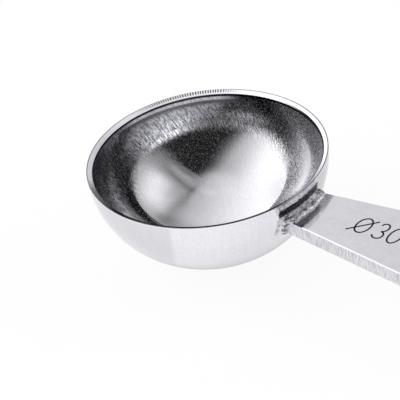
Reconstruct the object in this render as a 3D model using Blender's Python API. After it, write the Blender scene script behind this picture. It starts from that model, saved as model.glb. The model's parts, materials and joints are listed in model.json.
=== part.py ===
"""Melon baller: a pressed steel cup welded to a flaring flat strip with a riveted grip.

The tool is modelled in its own frame and then laid down on the table by its parent empty.
In the tool's frame the cup's axis is Z, the rim lies at Z = 0 and the handle runs along +X.
"""

import math

import bmesh
import bpy
from mathutils import Vector

MM = 0.001

# Cup
RIM_DIAMETER = 30.0 * MM
CUP_DEPTH = 13.3 * MM
CUP_WALL = 0.7 * MM
RIM_DROP = 0.33 * MM
RIM_EDGE_BREAK = 0.06 * MM

# Flat strip, which is the shank in front of the grip and the tang inside it
STRIP_THICKNESS = 1.9 * MM
STRIP_BELOW_RIM = 2.85 * MM
STRIP_EDGE_BREAK = 0.12 * MM
NECK_WIDTH = 7.0 * MM
SHANK_LENGTH = 36.0 * MM

# Weld between the cup and the strip
WELD_LEG = 0.42 * MM
WELD_TOP_REACH = 1.1 * MM
WELD_CORNER_RADIUS = 0.25 * MM
WELD_RIPPLE_PITCH = 0.65 * MM
WELD_RIPPLE_HEIGHT = 0.05 * MM

# Grip, seen from above
GRIP_LENGTH = 109.0 * MM
GRIP_FRONT_WIDTH = 16.3 * MM
GRIP_SWELL_WIDTH = 18.6 * MM
GRIP_WAIST_WIDTH = 16.4 * MM
GRIP_BUTT_WIDTH = 18.0 * MM
GRIP_BUTT_LENGTH = 9.0 * MM
SWELL_STATION = 0.36
WAIST_STATION = 0.72

# Grip scales, seen from the side
SCALE_THICKNESS = 5.0 * MM
SCALE_WALL_HEIGHT = 1.2 * MM
SCALE_EDGE_ROUNDING = 4.2 * MM
SCALE_NOSE_HEIGHT = 1.3 * MM
SCALE_NOSE_LENGTH = 9.0 * MM
SCALE_CORNER_LENGTH = 2.6 * MM
SCALE_CORNER_WIDTH = 4.6 * MM

# Cutler's rivets, each a pin pressed into a socket
RIVET_NAMES = ("front", "middle", "rear")
RIVET_HEAD_DIAMETER = 6.0 * MM
RIVET_HEAD_HEIGHT = 1.0 * MM
RIVET_HEAD_BREAK = 0.15 * MM
RIVET_SOCKET_DIAMETER = 3.2 * MM
RIVET_PIN_DIAMETER = 2.0 * MM
RIVET_END_PLAY = 0.3 * MM
NOSE_TO_RIVET = 5.0 * MM
RIVET_TO_HOLE = 15.0 * MM

# Hanging tube near the butt
HOLE_TO_BUTT = 10.0 * MM
TUBE_BORE = 6.6 * MM
TUBE_WALL = 0.6 * MM
TUBE_LIP = 0.6 * MM
TUBE_LIP_HEIGHT = 0.6 * MM

# Clearances
WELD_GAP = 0.03 * MM
BOND_GAP = 0.05 * MM
RIVET_GAP = 0.05 * MM
PRESS_GAP = 0.03 * MM
HEAD_RECESS = 0.05 * MM
CUTTER_OVERRUN = 2.0 * MM
MERGE_DISTANCE = 0.001 * MM

# Mesh resolution
CUP_SEGMENTS = 80
CUP_STEPS = 13
RIVET_SEGMENTS = 24
TUBE_SEGMENTS = 32
GRIP_STEPS = 22
NOSE_STEPS = 6
CORNER_STEPS = 5
BUTT_STEPS = 10
EDGE_STEPS = 6
STEPS_PER_RIPPLE = 4
WELD_STEPS = 5

# Places that follow from the sizes
RIM_RADIUS = RIM_DIAMETER / 2
STRIP_MIDDLE_Z = -STRIP_BELOW_RIM - STRIP_THICKNESS / 2
GRIP_START = RIM_RADIUS + SHANK_LENGTH
GRIP_END = GRIP_START + GRIP_LENGTH
BUTT_START = GRIP_END - GRIP_BUTT_LENGTH
HOLE_X = GRIP_END - HOLE_TO_BUTT
FIRST_RIVET_X = GRIP_START + SCALE_NOSE_LENGTH + NOSE_TO_RIVET
LAST_RIVET_X = HOLE_X - RIVET_TO_HOLE
SCALE_INNER_Z = STRIP_THICKNESS / 2 + BOND_GAP
SCALE_OUTER_Z = SCALE_INNER_Z + SCALE_THICKNESS
HEAD_OUTER_Z = SCALE_OUTER_Z - HEAD_RECESS
HEAD_INNER_Z = HEAD_OUTER_Z - RIVET_HEAD_HEIGHT
SMOOTH_ANGLE = math.radians(35)

STEEL = {"colour": (0.78, 0.78, 0.79), "roughness": 0.18, "metallic": 1.0}
WELD_STEEL = {"colour": (0.62, 0.61, 0.60), "roughness": 0.38, "metallic": 1.0}
RIVET_STEEL = {"colour": (0.74, 0.74, 0.75), "roughness": 0.3, "metallic": 1.0}
BLACK_PLASTIC = {"colour": (0.025, 0.025, 0.027), "roughness": 0.45, "metallic": 0.0}


def clear_scene():
    for obj in list(bpy.data.objects):
        bpy.data.objects.remove(obj, do_unlink=True)


def material(name, look):
    made = bpy.data.materials.new(name)
    made.use_nodes = True
    shader = made.node_tree.nodes["Principled BSDF"]
    shader.inputs["Base Color"].default_value = (*look["colour"], 1.0)
    shader.inputs["Roughness"].default_value = look["roughness"]
    shader.inputs["Metallic"].default_value = look["metallic"]
    return made


def new_object(name, bm, look=None):
    """An object from a bmesh; without a look it is a cutter, which isn't part of the tool."""
    bmesh.ops.recalc_face_normals(bm, faces=bm.faces)
    mesh = bpy.data.meshes.new(name)
    bm.to_mesh(mesh)
    bm.free()
    mesh.shade_smooth()
    mesh.set_sharp_from_angle(angle=SMOOTH_ANGLE)
    obj = bpy.data.objects.new(name, mesh)
    bpy.context.scene.collection.objects.link(obj)
    if look is None:
        obj.hide_render = True
        obj.display_type = "WIRE"
    else:
        mesh.materials.append(material(name, look))
    return obj


def cut(obj, cutter):
    """Takes the cutter's shape away from the object with a Boolean."""
    boolean = obj.modifiers.new("cut_" + cutter.name, "BOOLEAN")
    boolean.operation = "DIFFERENCE"
    boolean.solver = "EXACT"
    boolean.object = cutter


def break_edges(obj, width):
    """Breaks the sharp edges of a plate."""
    bevel = obj.modifiers.new("edge_break", "BEVEL")
    bevel.width = width
    bevel.segments = 2
    bevel.limit_method = "ANGLE"
    bevel.angle_limit = math.radians(60)


def spun(bm, profile, segments):
    """Spins a closed profile of (radius, height) points round the Z axis."""
    verts = [bm.verts.new((radius, 0.0, height)) for radius, height in profile]
    edges = [bm.edges.new((a, b)) for a, b in zip(verts, verts[1:] + verts[:1]) if a.co.x or b.co.x]
    bmesh.ops.spin(
        bm,
        geom=verts + edges,
        axis=(0.0, 0.0, 1.0),
        cent=(0.0, 0.0, 0.0),
        angle=math.tau,
        steps=segments,
        use_merge=True,
    )
    bmesh.ops.remove_doubles(bm, verts=bm.verts, dist=MERGE_DISTANCE)


def skinned(bm, loops):
    """Joins stacked loops of equal length with quads and returns their vertices."""
    rows = [[bm.verts.new(point) for point in loop] for loop in loops]
    for low, high in zip(rows, rows[1:]):
        for i in range(len(low)):
            j = (i + 1) % len(low)
            bm.faces.new((low[i], low[j], high[j], high[i]))
    return rows


def ellipse_wall(radius, depth, top):
    """Points down a half-ellipsoid's wall, from the height top to its lowest point."""
    first = math.asin(-top / depth)
    angles = [first + (math.pi / 2 - first) * i / CUP_STEPS for i in range(CUP_STEPS)]
    wall = [(radius * math.cos(a), -depth * math.sin(a)) for a in angles]
    return wall + [(0.0, -depth)]


def cup_x(y, z):
    """X of the cup's outer surface on the handle's side, at a height and a side offset."""
    radius = RIM_RADIUS * math.sqrt(1.0 - (z / CUP_DEPTH) ** 2)
    return math.sqrt(radius**2 - y**2)


def width_stations():
    """(X, half width, slope) where the plan outline is set, from the neck to the butt."""
    flare = (GRIP_FRONT_WIDTH - NECK_WIDTH) / 2 / SHANK_LENGTH
    return (
        (RIM_RADIUS, NECK_WIDTH / 2, flare),
        (GRIP_START, GRIP_FRONT_WIDTH / 2, flare),
        (GRIP_START + SWELL_STATION * GRIP_LENGTH, GRIP_SWELL_WIDTH / 2, 0.0),
        (GRIP_START + WAIST_STATION * GRIP_LENGTH, GRIP_WAIST_WIDTH / 2, 0.0),
        (BUTT_START, GRIP_BUTT_WIDTH / 2, 0.0),
    )


def half_width(x):
    """Half width of the plan outline and its slope, a smooth curve through the stations."""
    stations = width_stations()
    if x <= GRIP_START:
        start, width, flare = stations[0]
        return width + flare * (x - start), flare
    pairs = [pair for pair in zip(stations, stations[1:]) if x <= pair[1][0]]
    (x0, w0, m0), (x1, w1, m1) = pairs[0] if pairs else (stations[-2], stations[-1])
    span = x1 - x0
    t = (x - x0) / span
    width = (
        w0 * (1 + 2 * t) * (1 - t) ** 2
        + w1 * t**2 * (3 - 2 * t)
        + span * t * (1 - t) * (m0 * (1 - t) - m1 * t)
    )
    slope = 6 * t * (1 - t) * (w1 - w0) / span + m0 * (1 - t) * (1 - 3 * t) + m1 * t * (3 * t - 2)
    return width, slope


def side_point(x):
    """A point on the far side of the plan outline, with its outward normal."""
    width, slope = half_width(x)
    return Vector((x, width)), Vector((-slope, 1.0)).normalized()


def butt_arc():
    """The far half of the rounded butt, from the side to the tip."""
    half = GRIP_BUTT_WIDTH / 2
    points = []
    for i in range(1, BUTT_STEPS + 1):
        angle = math.pi / 2 * (1 - i / BUTT_STEPS)
        side = half * math.sin(angle) if i < BUTT_STEPS else 0.0
        point = Vector((BUTT_START + GRIP_BUTT_LENGTH * math.cos(angle), side))
        normal = Vector((half * math.cos(angle), GRIP_BUTT_LENGTH * math.sin(angle))).normalized()
        points.append((point, normal))
    return points


def grip_side(first_x):
    """The far side of the grip from a place in its front to the butt's rounding."""
    return [side_point(first_x + (BUTT_START - first_x) * i / GRIP_STEPS) for i in range(GRIP_STEPS + 1)]


def tang_outline():
    """Plan outline of the whole strip, from inside the cup's wall to the butt and back."""
    root_x = RIM_RADIUS / 2
    far = [side_point(root_x)[0]] + [point for point, _ in grip_side(GRIP_START) + butt_arc()]
    return far + [Vector((p.x, -p.y)) for p in reversed(far[:-1])]


def nose_corner():
    """The scale's rounded front corner, an elliptical arc that ends on the side."""
    centre_x = GRIP_START + SCALE_CORNER_LENGTH
    centre_y = half_width(centre_x)[0] - SCALE_CORNER_WIDTH
    points = []
    for i in range(CORNER_STEPS):
        angle = math.pi * (1 - i / CORNER_STEPS / 2)
        arc = Vector((SCALE_CORNER_LENGTH * math.cos(angle), SCALE_CORNER_WIDTH * math.sin(angle)))
        points.append((Vector((centre_x, centre_y)) + arc, Vector((0.0, math.sin(angle)))))
    return points


def nose_side():
    """The far side of the scale along its rising nose, after the corner."""
    first_x = GRIP_START + SCALE_CORNER_LENGTH
    length = SCALE_NOSE_LENGTH - SCALE_CORNER_LENGTH
    return [side_point(first_x + length * i / NOSE_STEPS) for i in range(NOSE_STEPS)]


def scale_height(x):
    """Share of the scale's full thickness at X: the nose rises along a quarter ellipse."""
    nose = SCALE_NOSE_HEIGHT / SCALE_THICKNESS
    back = min(1.0, max(0.0, 1.0 - (x - GRIP_START) / SCALE_NOSE_LENGTH))
    return nose + (1 - nose) * math.sqrt(1 - back**2)


def scale_loops(side):
    """Stacked loops of a scale, from the bonded face up the wall and over the rounded edge."""
    far = nose_corner() + nose_side() + grip_side(GRIP_START + SCALE_NOSE_LENGTH) + butt_arc()
    loops = [[Vector((p.x, p.y, 0.0)) for p, _ in far]]
    for i in range(EDGE_STEPS + 1):
        angle = math.pi / 2 * i / EDGE_STEPS
        inset = SCALE_EDGE_ROUNDING * (1 - math.cos(angle))
        height = SCALE_WALL_HEIGHT + (SCALE_THICKNESS - SCALE_WALL_HEIGHT) * math.sin(angle)
        loop = []
        for point, normal in far:
            moved = point - normal * inset
            loop.append(Vector((moved.x, moved.y, side * height * scale_height(moved.x))))
        loops.append(loop)
    return [loop + [Vector((p.x, -p.y, p.z)) for p in reversed(loop[:-1])] for loop in loops]


def close_across(bm, row):
    """Closes a loop whose two halves mirror each other with strips from side to side."""
    count = len(row)
    for i in range(count // 2):
        corners = (row[i], row[i + 1], row[-2 - i], row[-1 - i])
        bm.faces.new(list(dict.fromkeys(corners)))


def make_cup():
    outer = ellipse_wall(RIM_RADIUS, CUP_DEPTH, -RIM_EDGE_BREAK)
    inner = ellipse_wall(RIM_RADIUS - CUP_WALL, CUP_DEPTH - CUP_WALL, -RIM_DROP)
    bm = bmesh.new()
    spun(bm, outer[::-1] + [(RIM_RADIUS - RIM_EDGE_BREAK, 0.0)] + inner, CUP_SEGMENTS)
    return new_object("cup", bm, STEEL)


def make_cup_cutter():
    """The cup's outer shape as a solid, a weld gap larger, standing past the rim."""
    wall = ellipse_wall(RIM_RADIUS + WELD_GAP, CUP_DEPTH + WELD_GAP, 0.0)
    bm = bmesh.new()
    top = [(RIM_RADIUS + WELD_GAP, CUTTER_OVERRUN), (0.0, CUTTER_OVERRUN)]
    spun(bm, wall[::-1] + top, CUP_SEGMENTS)
    return new_object("cup_cutter", bm)


def make_plate(name, outline, thickness, look=None):
    """A flat plate extruded from its plan outline, centred on its own mid-plane."""
    bm = bmesh.new()
    base = bm.faces.new([bm.verts.new((p.x, p.y, -thickness / 2)) for p in outline])
    grown = bmesh.ops.extrude_face_region(bm, geom=[base])["geom"]
    moved = [item for item in grown if isinstance(item, bmesh.types.BMVert)]
    bmesh.ops.translate(bm, verts=moved, vec=(0.0, 0.0, thickness))
    plate = new_object(name, bm, look)
    plate.location.z = STRIP_MIDDLE_Z
    break_edges(plate, STRIP_EDGE_BREAK)
    return plate


def make_tang():
    return make_plate("tang", tang_outline(), STRIP_THICKNESS, STEEL)


def make_neck_cutter():
    """The strip near the cup, a weld gap larger all round, to seat the weld on it."""
    far = []
    for x in (RIM_RADIUS / 2, RIM_RADIUS + max(WELD_LEG, WELD_TOP_REACH) + CUTTER_OVERRUN):
        far.append(Vector((x, half_width(x)[0] + WELD_GAP)))
    outline = far + [Vector((p.x, -p.y)) for p in reversed(far)]
    return make_plate("neck_cutter", outline, STRIP_THICKNESS + 2 * WELD_GAP)


def weld_contour():
    """Points round the strip's section at the cup: (point in Y and Z, outward direction, distance)."""
    half = Vector((half_width(cup_x(0.0, STRIP_MIDDLE_Z))[0], STRIP_THICKNESS / 2))
    flats = 2 * (half - Vector((WELD_CORNER_RADIUS, WELD_CORNER_RADIUS)))
    step = WELD_RIPPLE_PITCH / STEPS_PER_RIPPLE
    contour = []
    travelled = 0.0
    for quarter in range(4):
        first = quarter * math.pi / 2
        diagonal = Vector((math.cos(first + math.pi / 4), math.sin(first + math.pi / 4)))
        centre = Vector(math.copysign(flat / 2, side) for flat, side in zip(flats, diagonal))
        for i in range(CORNER_STEPS + 1):
            angle = first + math.pi / 2 * i / CORNER_STEPS
            normal = Vector((math.cos(angle), math.sin(angle)))
            along = WELD_CORNER_RADIUS * (angle - first)
            contour.append((centre + normal * WELD_CORNER_RADIUS, normal, travelled + along))
        travelled += WELD_CORNER_RADIUS * math.pi / 2
        start = contour[-1][0]
        forward = Vector((-normal.y, normal.x))
        length = flats[quarter % 2]
        count = max(1, round(length / step))
        for i in range(1, count):
            along = length * i / count
            contour.append((start + forward * along, normal, travelled + along))
        travelled += length
    return contour, travelled


def weld_loops():
    """Stacked loops of the weld, a rippled fillet that runs out furthest over the strip's upper face."""
    contour, total = weld_contour()
    ripples = max(1, round(total / WELD_RIPPLE_PITCH))
    angles = [math.pi / 2 * i / WELD_STEPS for i in range(WELD_STEPS + 1)]
    stack = [(1.0, -1.0)] + [(math.cos(angle), math.sin(angle)) for angle in angles]
    loops = []
    for outward, beyond in stack:
        loop = []
        for point, normal, along in contour:
            leg = WELD_LEG + WELD_RIPPLE_HEIGHT * math.cos(math.tau * ripples * along / total) / 2
            reach = leg + (WELD_TOP_REACH - WELD_LEG) * max(0.0, normal.y)
            y, z = point + normal * leg * outward
            z += STRIP_MIDDLE_Z
            loop.append(Vector((cup_x(y, z) + reach * beyond, y, z)))
        loops.append(loop)
    return loops


def close_with_fan(bm, row):
    """Closes a loop with triangles to its centre."""
    middle = sum((vert.co for vert in row), Vector()) / len(row)
    centre = bm.verts.new(middle)
    for first, second in zip(row, row[1:] + row[:1]):
        bm.faces.new((first, second, centre))


def make_weld():
    bm = bmesh.new()
    rows = skinned(bm, weld_loops())
    close_with_fan(bm, rows[0])
    close_with_fan(bm, rows[-1])
    return new_object("weld_bead", bm, WELD_STEEL)


def make_scale(name, side):
    """A grip scale, bonded to the strip's upper face for side 1 and to its lower face for side -1."""
    bm = bmesh.new()
    rows = skinned(bm, scale_loops(side))
    close_across(bm, rows[0])
    close_across(bm, rows[-1])
    scale = new_object(name, bm, BLACK_PLASTIC)
    scale.location.z = STRIP_MIDDLE_Z + side * SCALE_INNER_Z
    return scale


def make_turned(name, profile, segments, x, look=None):
    """A turned piece that stands through the grip at X, from its (radius, height) profile."""
    bm = bmesh.new()
    spun(bm, profile, segments)
    piece = new_object(name, bm, look)
    piece.location = (x, 0.0, STRIP_MIDDLE_Z)
    return piece


def head_profile(inner, outer, side):
    """A rivet head's outline from its axis over its broken edge to its underside."""
    return [
        (0.0, side * outer),
        (RIVET_HEAD_DIAMETER / 2 - RIVET_HEAD_BREAK, side * outer),
        (RIVET_HEAD_DIAMETER / 2, side * (outer - RIVET_HEAD_BREAK)),
        (RIVET_HEAD_DIAMETER / 2, side * inner),
    ]


def make_rivet_socket(name, x):
    """The half with the bore, whose head shows on the upper scale."""
    bore = RIVET_PIN_DIAMETER / 2 + PRESS_GAP
    end = -HEAD_INNER_Z + RIVET_END_PLAY
    stem = [(RIVET_SOCKET_DIAMETER / 2, HEAD_INNER_Z), (RIVET_SOCKET_DIAMETER / 2, end)]
    hollow = [(bore, end), (bore, HEAD_INNER_Z), (0.0, HEAD_INNER_Z)]
    head = head_profile(HEAD_INNER_Z, HEAD_OUTER_Z, 1)
    return make_turned(name, head + stem + hollow, RIVET_SEGMENTS, x, RIVET_STEEL)


def make_rivet_pin(name, x):
    """The half that is pressed into the bore, whose head shows on the lower scale."""
    end = HEAD_INNER_Z - RIVET_END_PLAY
    shaft = [(RIVET_PIN_DIAMETER / 2, -HEAD_INNER_Z), (RIVET_PIN_DIAMETER / 2, end), (0.0, end)]
    head = head_profile(HEAD_INNER_Z, HEAD_OUTER_Z, -1)
    return make_turned(name, head + shaft, RIVET_SEGMENTS, x, RIVET_STEEL)


def make_bore_cutter(name, x, bore, seat, seat_height, segments):
    """A stepped bore through the whole grip: a through hole with a wider seat at both faces."""
    top = SCALE_OUTER_Z + CUTTER_OVERRUN
    floor = HEAD_OUTER_Z - seat_height - RIVET_GAP
    upper = [(bore, floor), (seat, floor), (seat, top), (0.0, top)]
    lower = [(radius, -height) for radius, height in reversed(upper)]
    return make_turned(name, lower + upper, segments, x)


def make_hanging_tube():
    """The tube that lines the hanging hole, with a turned-out lip at both faces of the grip."""
    bore = TUBE_BORE / 2
    wall = bore + TUBE_WALL
    lip = wall + TUBE_LIP
    under = HEAD_OUTER_Z - TUBE_LIP_HEIGHT
    flare = TUBE_WALL / 2
    upper = [
        (wall, under),
        (lip, under),
        (lip, HEAD_OUTER_Z - flare / 2),
        (lip - flare / 2, HEAD_OUTER_Z),
        (bore + flare, HEAD_OUTER_Z),
        (bore, HEAD_OUTER_Z - flare),
    ]
    lower = [(radius, -height) for radius, height in reversed(upper)]
    return make_turned("hanging_tube", upper + lower, TUBE_SEGMENTS, HOLE_X, RIVET_STEEL)


def table_tilt():
    """Angle that brings the cup's lowest ring and the grip's butt down to one table."""
    rest_x = GRIP_END - SCALE_EDGE_ROUNDING
    rest_z = STRIP_MIDDLE_Z - SCALE_OUTER_Z
    wall = ellipse_wall(RIM_RADIUS, CUP_DEPTH, -RIM_EDGE_BREAK)
    return max(math.atan2(rest_z - z, rest_x - x) for x, z in wall)


def lay_on_table(root, pieces):
    """Tilts the tool until it rests on the cup and the butt, centred over the origin."""
    root.rotation_euler.y = table_tilt()
    bpy.context.view_layer.update()
    graph = bpy.context.evaluated_depsgraph_get()
    points = []
    for piece in pieces:
        solid = piece.evaluated_get(graph)
        points += [solid.matrix_world @ vert.co for vert in solid.data.vertices]
    low = Vector(min(point[axis] for point in points) for axis in range(3))
    high = Vector(max(point[axis] for point in points) for axis in range(3))
    root.location = (-(low.x + high.x) / 2, -(low.y + high.y) / 2, -low.z)


def main():
    clear_scene()
    root = bpy.data.objects.new("melon_baller", None)
    bpy.context.scene.collection.objects.link(root)

    cup = make_cup()
    tang = make_tang()
    weld = make_weld()
    upper_scale = make_scale("upper_scale", 1)
    lower_scale = make_scale("lower_scale", -1)
    tube = make_hanging_tube()
    pieces = [cup, tang, weld, upper_scale, lower_scale, tube]

    cup_cutter = make_cup_cutter()
    neck_cutter = make_neck_cutter()
    cut(tang, cup_cutter)
    cut(weld, cup_cutter)
    cut(weld, neck_cutter)

    tube_bore = TUBE_BORE / 2 + TUBE_WALL + RIVET_GAP
    bores = [
        make_bore_cutter(
            "tube_bore", HOLE_X, tube_bore, tube_bore + TUBE_LIP, TUBE_LIP_HEIGHT, TUBE_SEGMENTS
        )
    ]
    spacing = (LAST_RIVET_X - FIRST_RIVET_X) / (len(RIVET_NAMES) - 1)
    for i, place in enumerate(RIVET_NAMES):
        x = FIRST_RIVET_X + spacing * i
        pieces.append(make_rivet_socket("rivet_socket_" + place, x))
        pieces.append(make_rivet_pin("rivet_pin_" + place, x))
        bore = RIVET_SOCKET_DIAMETER / 2 + RIVET_GAP
        seat = RIVET_HEAD_DIAMETER / 2 + RIVET_GAP
        bores.append(
            make_bore_cutter("rivet_bore_" + place, x, bore, seat, RIVET_HEAD_HEIGHT, RIVET_SEGMENTS)
        )
    for target in (tang, upper_scale, lower_scale):
        for bore_cutter in bores:
            cut(target, bore_cutter)

    for obj in pieces + bores + [cup_cutter, neck_cutter]:
        obj.parent = root
    lay_on_table(root, pieces)


main()
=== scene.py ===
"""The looks of a melon baller: finer pieces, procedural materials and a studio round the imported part."""

import json
import math

import bmesh
import bpy
from mathutils import Euler, Matrix, Vector, noise


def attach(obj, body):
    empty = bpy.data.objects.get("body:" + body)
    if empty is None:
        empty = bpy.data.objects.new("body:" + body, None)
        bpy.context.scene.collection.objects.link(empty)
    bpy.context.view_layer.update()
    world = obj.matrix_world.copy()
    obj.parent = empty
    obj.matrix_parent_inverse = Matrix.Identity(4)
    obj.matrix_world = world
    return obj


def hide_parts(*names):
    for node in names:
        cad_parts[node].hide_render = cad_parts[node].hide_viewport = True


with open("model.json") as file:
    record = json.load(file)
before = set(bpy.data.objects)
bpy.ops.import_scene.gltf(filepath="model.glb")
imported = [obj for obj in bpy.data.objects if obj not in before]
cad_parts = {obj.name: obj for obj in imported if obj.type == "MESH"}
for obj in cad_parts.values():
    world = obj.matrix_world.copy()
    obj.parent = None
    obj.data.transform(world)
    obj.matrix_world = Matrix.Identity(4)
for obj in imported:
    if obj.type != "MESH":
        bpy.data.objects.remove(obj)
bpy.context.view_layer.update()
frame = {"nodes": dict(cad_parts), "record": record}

MM = 0.001

# How far the pieces stay inside the solids, how near points are joined, and how bent sharp edges are
SKIN = 0.005 * MM
MERGE_DISTANCE = 0.0008 * MM
SHARP_ANGLE = math.radians(40)
WELD_SHARP_ANGLE = math.radians(75)

# Cup, in the tool's own frame: the rim plane is z = 0, the cup's axis is Z, the handle runs along +X
RIM_RADIUS = 15.0 * MM
CUP_DEPTH = 13.3 * MM
CUP_WALL = 0.7 * MM
RIM_INNER_DROP = 0.28 * MM
RIM_DOME = 1.08
RIM_OUTER_ROUNDING = 0.06 * MM
RIM_INNER_ROUNDING = 0.05 * MM
CUP_SEGMENTS = 256
CUP_WALL_STEPS = 72
RIM_STEPS = 8
ROUNDING_STEPS = 5

# Strip
STRIP_THICKNESS = 1.9 * MM
STRIP_BELOW_RIM = 2.85 * MM
NECK_WIDTH = 7.0 * MM
SHANK_LENGTH = 36.0 * MM

# Weld
WELD_LEG = 0.45 * MM
WELD_TOP_REACH = 1.1 * MM
WELD_CORNER_RADIUS = 0.25 * MM
WELD_RIPPLE_PITCH = 0.65 * MM
WELD_RIPPLE_HEIGHT = 0.02 * MM
WELD_LUMP_HEIGHT = 0.06 * MM
WELD_LUMP_PITCH = 0.6 * MM
WELD_ROOT = 0.12 * MM
WELD_SIDE_STEP = 0.06 * MM
WELD_CORNER_STEPS = 8
WELD_ARC_STEPS = 8

# Grip
GRIP_LENGTH = 109.0 * MM
GRIP_FRONT_WIDTH = 16.3 * MM
GRIP_SWELL_WIDTH = 18.6 * MM
GRIP_WAIST_WIDTH = 16.4 * MM
GRIP_BUTT_WIDTH = 18.0 * MM
GRIP_BUTT_LENGTH = 9.0 * MM
SWELL_STATION = 0.36
WAIST_STATION = 0.72
BOND_GAP = 0.05 * MM
SCALE_THICKNESS = 5.0 * MM
SCALE_WALL_HEIGHT = 1.2 * MM
SCALE_EDGE_ROUNDING = 4.2 * MM
SCALE_NOSE_HEIGHT = 1.3 * MM
SCALE_NOSE_LENGTH = 9.0 * MM
SCALE_CORNER_LENGTH = 2.6 * MM
SCALE_CORNER_WIDTH = 4.6 * MM
GRIP_STEPS = 90
NOSE_STEPS = 20
CORNER_STEPS = 14
BUTT_STEPS = 28
EDGE_STEPS = 16

# Rivets and hanging tube
RIVET_PLACES = (("front", 65.0 * MM), ("middle", 100.0 * MM), ("rear", 135.0 * MM))
RIVET_HEAD_RADIUS = 3.0 * MM
RIVET_HEAD_HEIGHT = 1.0 * MM
RIVET_HEAD_BREAK = 0.15 * MM
RIVET_SOCKET_RADIUS = 1.6 * MM
RIVET_PIN_RADIUS = 1.0 * MM
RIVET_HALVES = (("rivet_top_", 1, RIVET_SOCKET_RADIUS, "rivet_socket_"),
                ("rivet_foot_", -1, RIVET_PIN_RADIUS, "rivet_pin_"))
HEAD_RECESS = 0.05 * MM
SEAT_GAP = 0.05 * MM
HOLE_X = 150.0 * MM
TUBE_BORE_RADIUS = 3.3 * MM
TUBE_WALL = 0.6 * MM
TUBE_LIP = 0.6 * MM
TUBE_LIP_HEIGHT = 0.6 * MM
TURNED_SEGMENTS = 96
CUTTER_OVERRUN = 2.0 * MM

# Size mark, a plain "diameter 30" on the strip: each arc has a centre and radii in mm, and two angles
MARK_STROKE = 0.22 * MM
MARK_PROUD = 0.008 * MM
MARK_SUNK = 0.02 * MM
MARK_ARC_STEPS = 40
MARK_RING = ((23.08, 0.12), (0.92, 1.45), 0.0, 360.0)
MARK_SLASH = ((21.5, -1.47), (24.4, 1.58))
MARK_THREE = (((25.58, 0.89), (0.56, 0.77), 165.0, -85.0), ((25.55, -0.62), (0.68, 0.72), 85.0, -160.0))
MARK_NOUGHT = ((27.62, 0.13), (0.78, 1.48), 0.0, 360.0)

# Camera, fitted to the photograph: angles in degrees, lengths in metres, the lens as pixels at 400 px
CAMERA_AZIMUTH = 42.83
CAMERA_ELEVATION = 34.756
CAMERA_ROLL = 9.015
CAMERA_DISTANCE = 0.320
CAMERA_AIM = (-0.000846, -0.005403)
CAMERA_CLIP = 0.01
IMAGE_WIDTH = 400
LENS_PIXELS = 2607.368

# Places that follow from the sizes, and the slope of the shank's sides
STRIP_TOP_Z = -STRIP_BELOW_RIM
STRIP_MIDDLE_Z = STRIP_TOP_Z - STRIP_THICKNESS / 2
GRIP_START = RIM_RADIUS + SHANK_LENGTH
BUTT_START = GRIP_START + GRIP_LENGTH - GRIP_BUTT_LENGTH
SCALE_INNER_Z = STRIP_THICKNESS / 2 + BOND_GAP
SCALE_OUTER_Z = SCALE_INNER_Z + SCALE_THICKNESS
HEAD_OUTER_Z = SCALE_OUTER_Z - HEAD_RECESS
HEAD_INNER_Z = HEAD_OUTER_Z - RIVET_HEAD_HEIGHT
FLARE = (GRIP_FRONT_WIDTH - NECK_WIDTH) / 2 / SHANK_LENGTH

# Plan outline of the strip and the grip, from the neck to the butt: X, half width and slope
STATIONS = ((RIM_RADIUS, NECK_WIDTH / 2, FLARE),
            (GRIP_START, GRIP_FRONT_WIDTH / 2, FLARE),
            (GRIP_START + SWELL_STATION * GRIP_LENGTH, GRIP_SWELL_WIDTH / 2, 0.0),
            (GRIP_START + WAIST_STATION * GRIP_LENGTH, GRIP_WAIST_WIDTH / 2, 0.0),
            (BUTT_START, GRIP_BUTT_WIDTH / 2, 0.0))

# Where the record's grip_top mount stands along the tool
MOUNT_X = 82.5 * MM


def tool_placement(record):
    """The matrix from the tool's own frame to the row frame, from the grip's upper face."""
    mount = next(m for m in record["mounts"] if m["name"] == "grip_top")
    normal = Vector(mount["axis"])
    turn = Matrix.Rotation(math.atan2(normal.x, normal.z), 4, "Y")
    face = Vector((MOUNT_X, 0.0, STRIP_MIDDLE_Z + SCALE_OUTER_Z))
    return Matrix.Translation(Vector(mount["pos_m"]) - turn @ face) @ turn


PLACEMENT = tool_placement(frame["record"])
UNMOVED = Matrix.Identity(4)


# Mesh helpers


def shares(count):
    """Even steps from 0 to 1."""
    return [i / count for i in range(count + 1)]


def new_piece(name, bm, materials, placement=PLACEMENT, sharp_angle=SHARP_ANGLE):
    """A smooth-shaded piece from a bmesh in the tool's frame, with its place in its mesh."""
    bmesh.ops.recalc_face_normals(bm, faces=bm.faces)
    mesh = bpy.data.meshes.new(name)
    bm.to_mesh(mesh)
    bm.free()
    mesh.transform(placement)
    mesh.shade_smooth()
    mesh.set_sharp_from_angle(angle=sharp_angle)
    for made in materials:
        mesh.materials.append(made)
    piece = bpy.data.objects.new(name, mesh)
    bpy.context.scene.collection.objects.link(piece)
    return piece


def spin_profile(bm, profile, segments, centre=(0.0, 0.0), materials=None):
    """Turns a (radius, height) outline round a Z axis; points on the axis are shared."""
    rows = []
    for radius, height in profile:
        if radius == 0.0:
            rows.append([bm.verts.new((*centre, height))] * segments)
            continue
        angles = (math.tau * i / segments for i in range(segments))
        rows.append([
            bm.verts.new((centre[0] + radius * math.cos(a), centre[1] + radius * math.sin(a), height))
            for a in angles
        ])
    for index, (first, second) in enumerate(zip(rows, rows[1:])):
        for i in range(segments):
            j = (i + 1) % segments
            corners = dict.fromkeys((first[i], first[j], second[j], second[i]))
            if len(corners) > 2:
                face = bm.faces.new(list(corners))
                if materials:
                    face.material_index = materials[index]
    return rows


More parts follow.
